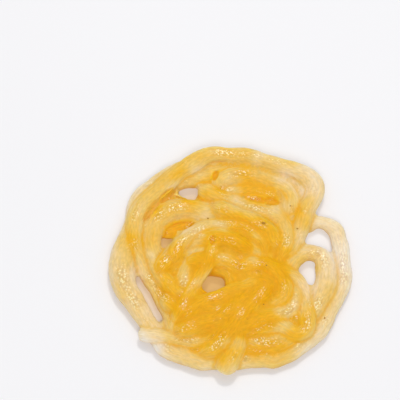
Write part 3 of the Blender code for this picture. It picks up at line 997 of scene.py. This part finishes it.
# %% Skin
SCATTER_REACH = 4.5 * MM
SCATTER_COLOURS = (1.0, 1.0, 0.9)  # blue is swallowed a little sooner
SYRUP_IOR = 1.46
GLINT_LEVEL = 0.28  # dried sugar dulls the mirror of the skin
BUBBLE_SIZE, BUBBLE_DEPTH = 0.7, 0.12  # mm, drawn coarser than real ones so that they show
WET_ROUGHNESS, TACKY_ROUGHNESS = 0.10, 0.60

place = add(tree, "ShaderNodeTexCoord")
bubbles = add(tree, "ShaderNodeTexNoise", {
    "Vector": place.outputs["Object"], "Scale": 1 / (BUBBLE_SIZE * MM), "Detail": 2.0})
bubbly = add(tree, "ShaderNodeBump", {
    "Strength": 1.0, "Distance": BUBBLE_DEPTH * MM, "Height": bubbles.outputs["Fac"]})
gloss = add(tree, "ShaderNodeMapRange", {
    "Value": runny.outputs["Fac"], "To Min": TACKY_ROUGHNESS, "To Max": WET_ROUGHNESS})
skin = add(tree, "ShaderNodeBsdfPrincipled", {
    "Base Color": crumbed.outputs["Result"], "Roughness": gloss.outputs["Result"],
    "IOR": SYRUP_IOR, "Specular IOR Level": GLINT_LEVEL,
    "Subsurface Weight": 1.0, "Subsurface Radius": SCATTER_COLOURS,
    "Subsurface Scale": SCATTER_REACH, "Normal": bubbly.outputs["Normal"]})
tree.links.new(skin.outputs["BSDF"], output.inputs["Surface"])
print("nodes of", dough.name + ":", len(tree.nodes))

# %% [markdown]
# ## The dressed round
#
# The skin is the whole round, one piece as the real one is, and takes the place of the solid.
# Smooth shading hides the facets that the voxels left.

# %% Round
dough_mesh.materials.clear()
dough_mesh.materials.append(dough)
dough_mesh.shade_smooth()
meshbak = bpy.data.objects.new("meshbak_dough", dough_mesh)
bpy.context.scene.collection.objects.link(meshbak)
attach(meshbak, "root")
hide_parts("meshbak")
print("material slots:", [slot.name for slot in meshbak.material_slots])

# %% [markdown]
# ## Singed specks
#
# A few crumbs of batter burned in the oil and stuck. Dots of colour would be flat, so each is a
# small lump, half sunk in the skin: an icosphere, flattened and pushed about a little, and set
# down where a ray from above meets the round.

# %% Specks
# x, y and width of each speck, in mm
SPECKS = [
    (16.0, 17.0, 1.9), (32.5, 15.0, 1.0), (17.0, -5.0, 0.9), (44.5, -30.0, 1.1),
    (-11.0, 20.5, 1.0), (29.5, 27.0, 0.8), (15.5, -24.0, 0.7),
]
SPECK_DEPTH, SPECK_HEIGHT = 0.8, 0.45  # shares of the width
SPECK_TURN = 1.3  # radians from one speck to the next
ABOVE = 0.05  # metres, from where the ray looks down
CRUMPLE_SIZE, CRUMPLE = 0.5 * MM, 0.06 * MM

bm = bmesh.new()
for i, (x, y, width) in enumerate(SPECKS):
    eye = Vector(((x - ROUTES_MIDDLE[0]) * MM, (y - ROUTES_MIDDLE[1]) * MM, ABOVE))
    found, spot, slope, _ = meshbak.ray_cast(eye, (0, 0, -1))
    half = width / 2 * MM
    size = Matrix.Diagonal((half, half * SPECK_DEPTH, half * SPECK_HEIGHT, 1))
    turn = slope.to_track_quat("Z", "Y").to_matrix().to_4x4()
    turn = turn @ Matrix.Rotation(i * SPECK_TURN, 4, "Z")
    bmesh.ops.create_icosphere(
        bm, subdivisions=2, radius=1, matrix=Matrix.Translation(spot) @ turn @ size)
    print("speck", i, "on the round:", found)
for vertex in bm.verts:
    vertex.co += noise.noise_vector(vertex.co / CRUMPLE_SIZE) * CRUMPLE
specks_mesh = bpy.data.meshes.new("singed_specks")
bm.to_mesh(specks_mesh)
bm.free()
specks_mesh.shade_smooth()
specks = bpy.data.objects.new("singed_specks", specks_mesh)
bpy.context.scene.collection.objects.link(specks)

# %% [markdown]
# ## The specks' finish
#
# Burnt batter is dry sugar and flour, brown and nearly matt, with lighter spots. A plain colour
# would do at this size, but two browns with a fine mottle hold up when the camera comes closer.

# %% Singed crumb
MOTTLE_GRAIN = 0.6 * MM
CRUMB_ROUGHNESS, CRUMB_SHINE = 0.5, 0.3

singed, tree, output = new_material("singed_crumb")
place = add(tree, "ShaderNodeTexCoord")
mottle = add(tree, "ShaderNodeTexNoise", {
    "Vector": place.outputs["Object"], "Scale": 1 / MOTTLE_GRAIN})
brown = add(tree, "ShaderNodeMix", {
    "Factor": mottle.outputs["Fac"], "A": linear("#A8740F"), "B": linear("#CC962A")},
    data_type="RGBA")
crumb = add(tree, "ShaderNodeBsdfPrincipled", {
    "Base Color": brown.outputs["Result"], "Roughness": CRUMB_ROUGHNESS,
    "Specular IOR Level": CRUMB_SHINE})
tree.links.new(crumb.outputs["BSDF"], output.inputs["Surface"])
specks_mesh.materials.append(singed)
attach(specks, "root")
print("specks' triangles:", len(specks_mesh.polygons))
